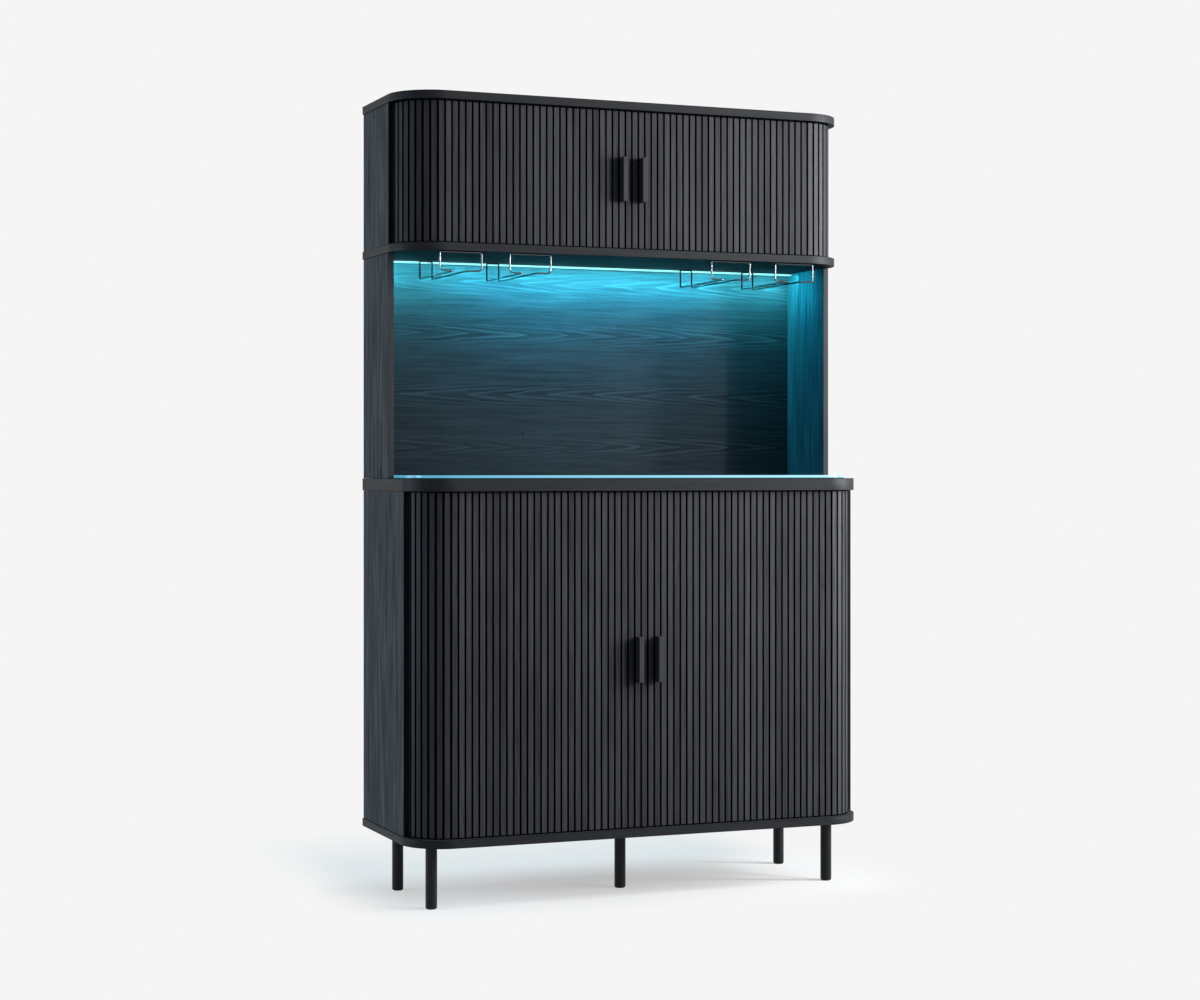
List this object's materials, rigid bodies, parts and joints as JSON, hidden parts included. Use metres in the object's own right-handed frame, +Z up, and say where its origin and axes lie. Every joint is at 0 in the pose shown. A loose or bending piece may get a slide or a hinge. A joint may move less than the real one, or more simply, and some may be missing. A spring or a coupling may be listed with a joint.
{
  "type": "bar cabinet",
  "caption": "Tall bar cabinet: rounded tambour base and top cabinet with sliding slatted doors, an open lit niche, wire stemware racks and round legs.",
  "frame": {"origin": "on the floor under the middle of the cabinet's outer box", "axes": "+Z up, +Y to the rear, so the doors face -Y, +X to the right of someone who faces the doors"},
  "size_m": [1.2, 0.44, 1.957],
  "materials": {
    "ash_veneer": "black-stained ash veneer, satin",
    "ash_inside": "black laminate inside",
    "black_metal": "matt black powder coat",
    "steel": "bright plated steel",
    "aluminium": "anodised",
    "diffuser": "frosted diffuser",
    "glass": "clear toughened glass, polished edge",
    "plastic": "black moulded plastic"
  },
  "bodies": {
    "cabinet": {"base_board": "ash_veneer", "worktop": "ash_veneer", "worktop_glass": "glass", "shelf_board": "ash_veneer", "top_board": "ash_veneer", "leg_front_left": "black_metal", "leg_front_right": "black_metal", "leg_rear_left": "black_metal", "leg_rear_right": "black_metal", "leg_middle": "black_metal", "insert_front_left": "steel", "insert_front_right": "steel", "insert_rear_left": "steel", "insert_rear_right": "steel", "insert_middle": "steel", "lower_side_left": "ash_veneer", "lower_side_right": "ash_veneer", "hutch_side_left": "ash_veneer", "hutch_side_right": "ash_veneer", "upper_side_left": "ash_veneer", "upper_side_right": "ash_veneer", "lower_back": "ash_veneer", "hutch_back": "ash_veneer", "upper_back": "ash_veneer", "lower_liner_left": "ash_inside", "lower_liner_right": "ash_inside", "upper_liner_left": "ash_inside", "upper_liner_right": "ash_inside", "lower_false_back": "ash_inside", "upper_false_back": "ash_inside", "lower_divider": "ash_inside", "upper_divider": "ash_inside", "inner_shelf_left": "ash_inside", "inner_shelf_right": "ash_inside", "lower_left_curtain": "ash_veneer", "lower_left_corner": "ash_veneer", "lower_right_curtain": "ash_veneer", "lower_right_corner": "ash_veneer", "upper_left_curtain": "ash_veneer", "upper_left_corner": "ash_veneer", "upper_right_curtain": "ash_veneer", "upper_right_corner": "ash_veneer", "rack_1": "steel", "rack_2": "steel", "rack_3": "steel", "rack_4": "steel", "led_channel": "aluminium", "led_strip": "plastic", "led_diffuser": "diffuser", "led_controller": "plastic", "power_inlet": "plastic"},
    "lower_left_door": {"lower_left_stile": "ash_veneer", "lower_left_handle": "black_metal"},
    "lower_right_door": {"lower_right_stile": "ash_veneer", "lower_right_handle": "black_metal"},
    "upper_left_door": {"upper_left_stile": "ash_veneer", "upper_left_handle": "black_metal"},
    "upper_right_door": {"upper_right_stile": "ash_veneer", "upper_right_handle": "black_metal"}
  },
  "joints": [
    {"name": "lower_left_door_slide", "type": "slide", "parent": "cabinet", "child": "lower_left_door", "axis": [-1, 0, 0], "range_m": [0, 0.45], "deforming": ["lower_left_curtain"]},
    {"name": "lower_right_door_slide", "type": "slide", "parent": "cabinet", "child": "lower_right_door", "axis": [1, 0, 0], "range_m": [0, 0.45], "deforming": ["lower_right_curtain"]},
    {"name": "upper_left_door_slide", "type": "slide", "parent": "cabinet", "child": "upper_left_door", "axis": [-1, 0, 0], "range_m": [0, 0.432], "deforming": ["upper_left_curtain"]},
    {"name": "upper_right_door_slide", "type": "slide", "parent": "cabinet", "child": "upper_right_door", "axis": [1, 0, 0], "range_m": [0, 0.432], "deforming": ["upper_right_curtain"]}
  ]
}
